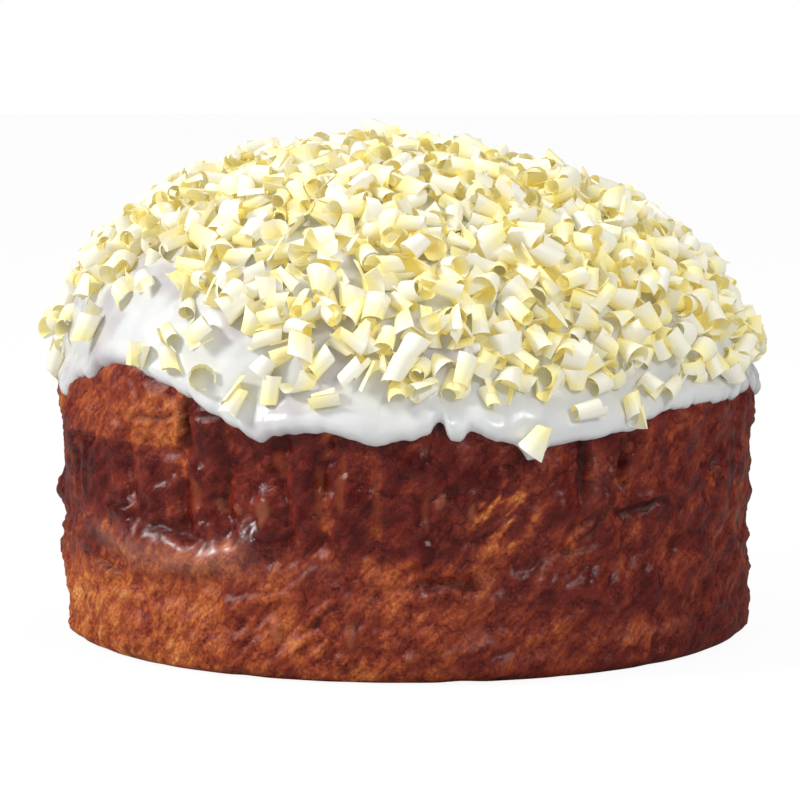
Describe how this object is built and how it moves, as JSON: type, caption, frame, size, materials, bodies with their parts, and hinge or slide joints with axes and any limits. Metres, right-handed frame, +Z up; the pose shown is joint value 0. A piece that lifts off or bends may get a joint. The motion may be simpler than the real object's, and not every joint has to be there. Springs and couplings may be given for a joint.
{
  "type": "panettone",
  "caption": "Low, domed panettone out of its paper case, with a dark wrinkled crust, poured white icing that drips at its edge, and a thick heap of white chocolate curls.",
  "frame": {"origin": "centre of the bounding box of the whole object, at the flat underside of the loaf", "axes": "+Z up, from the underside to the top of the dome; -Y towards the side that the picture shows, +X to the right as seen from there"},
  "size_m": [0.213, 0.216, 0.1448],
  "materials": {
    "browned_crust": "satin",
    "white_icing": "gloss",
    "white_chocolate": "satin"
  },
  "bodies": {
    "root": {"curl_01": "white_chocolate", "curl_02": "white_chocolate", "curl_03": "white_chocolate", "curl_04": "white_chocolate", "curl_05": "white_chocolate", "curl_06": "white_chocolate", "curl_07": "white_chocolate", "curl_08": "white_chocolate", "curl_09": "white_chocolate", "curl_10": "white_chocolate", "curl_11": "white_chocolate", "curl_12": "white_chocolate", "curl_13": "white_chocolate", "curl_14": "white_chocolate", "curl_15": "white_chocolate", "curl_16": "white_chocolate", "curl_17": "white_chocolate", "curl_18": "white_chocolate", "curl_19": "white_chocolate", "curl_20": "white_chocolate", "curl_21": "white_chocolate", "curl_22": "white_chocolate", "curl_23": "white_chocolate", "curl_24": "white_chocolate", "curl_heap": "white_chocolate", "icing": "white_icing", "loaf": "browned_crust"}
  },
  "joints": []
}
